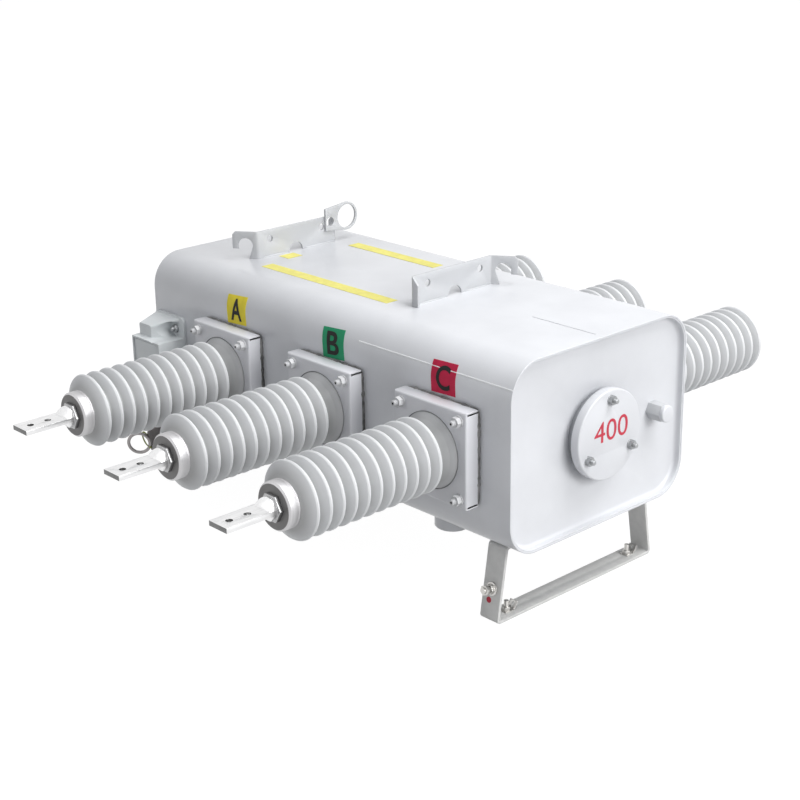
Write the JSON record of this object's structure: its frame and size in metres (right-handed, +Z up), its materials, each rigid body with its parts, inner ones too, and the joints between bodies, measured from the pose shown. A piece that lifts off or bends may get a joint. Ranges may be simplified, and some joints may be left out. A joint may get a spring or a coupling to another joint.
{
  "type": "gas-insulated load break switch",
  "caption": "Sealed grey tank with outdoor shedded bushings front and rear, flat bolted terminals, top hangers, leg frames and a hook-stick lever.",
  "frame": {"origin": "on the ground under the middle of the bounding box", "axes": "+Z up, +Y towards the rear bushings, +X towards the end with the round cover"},
  "size_m": [1.2728, 1.5102, 0.6475],
  "materials": {
    "tank_paint": "light grey semi-gloss paint",
    "bushing_rubber": "light grey moulded polymer",
    "seal": "black rubber",
    "tinned_metal": "bright tinned copper",
    "ferrule_metal": "machined aluminium",
    "bolt_steel": "stainless steel",
    "leg_steel": "dull galvanised steel",
    "connector_metal": "grey-green painted casting",
    "lever_metal": "brown-grey coating",
    "shaft_steel": "turned steel",
    "bearing_bronze": "sintered bronze",
    "insulation": "brown glass-filled resin",
    "contact_copper": "silvered copper"
  },
  "bodies": {
    "tank": {"bushing_front_a": "bushing_rubber", "bushing_front_b": "bushing_rubber", "bushing_front_c": "bushing_rubber", "bushing_rear_a": "bushing_rubber", "bushing_rear_b": "bushing_rubber", "bushing_rear_c": "bushing_rubber", "clamp_fasteners_front": "bolt_steel", "clamp_fasteners_rear": "bolt_steel", "clamp_plate_front_a": "tank_paint", "clamp_plate_front_b": "tank_paint", "clamp_plate_front_c": "tank_paint", "clamp_plate_rear_a": "tank_paint", "clamp_plate_rear_b": "tank_paint", "clamp_plate_rear_c": "tank_paint", "connector_bolts": "bolt_steel", "connector_cap": "connector_metal", "connector_housing": "connector_metal", "cover_fasteners": "bolt_steel", "cover_neck": "tank_paint", "earth_bolt": "bolt_steel", "end_plate_left": "tank_paint", "end_plate_right": "tank_paint", "ferrules": "ferrule_metal", "fixed_contacts": "contact_copper", "gas_fill_cap": "tank_paint", "gas_fill_port": "tank_paint", "gaskets": "seal", "hanger_left": "tank_paint", "hanger_right": "tank_paint", "leg_fasteners": "bolt_steel", "leg_frame_left": "leg_steel", "leg_frame_right": "leg_steel", "lever_bearings": "bearing_bronze", "lifting_eye": "tank_paint", "mechanism_cover": "tank_paint", "mechanism_plate": "tank_paint", "mechanism_screws": "bolt_steel", "relief_housing": "tank_paint", "round_cover": "tank_paint", "shaft_bearings": "bearing_bronze", "tank_shell": "tank_paint", "terminal_front_a": "tinned_metal", "terminal_front_b": "tinned_metal", "terminal_front_c": "tinned_metal", "terminal_nuts": "tinned_metal", "terminal_rear_a": "tinned_metal", "terminal_rear_b": "tinned_metal", "terminal_rear_c": "tinned_metal"},
    "lever": {"operating_lever": "lever_metal", "pull_rings": "lever_metal", "lever_shaft": "shaft_steel", "lever_crank": "shaft_steel", "lever_nut": "bolt_steel"},
    "shaft": {"main_shaft": "insulation", "blade_hubs": "insulation", "moving_blade_a": "contact_copper", "moving_blade_b": "contact_copper", "moving_blade_c": "contact_copper", "main_crank": "shaft_steel"},
    "link": {"drive_link": "shaft_steel"}
  },
  "joints": [
    {"name": "lever_swing", "type": "hinge", "parent": "tank", "child": "lever", "pos_m": [-0.59562, 0.0529, 0.13], "axis": [-1, 0, 0], "range_deg": [0, 50]},
    {"name": "shaft_turn", "type": "hinge", "parent": "tank", "child": "shaft", "pos_m": [0.08939, 0.0529, 0.356], "axis": [-1, 0, 0], "range_deg": [0, 50]},
    {"name": "link_swing", "type": "hinge", "parent": "lever", "child": "link", "pos_m": [-0.56761, 0.10003, 0.15198], "axis": [-1, 0, 0], "range_deg": [-50, 0]}
  ],
  "couplings": [
    {"joint": "shaft_turn", "follows": "lever_swing", "ratio": 1},
    {"joint": "link_swing", "follows": "lever_swing", "ratio": -1}
  ]
}
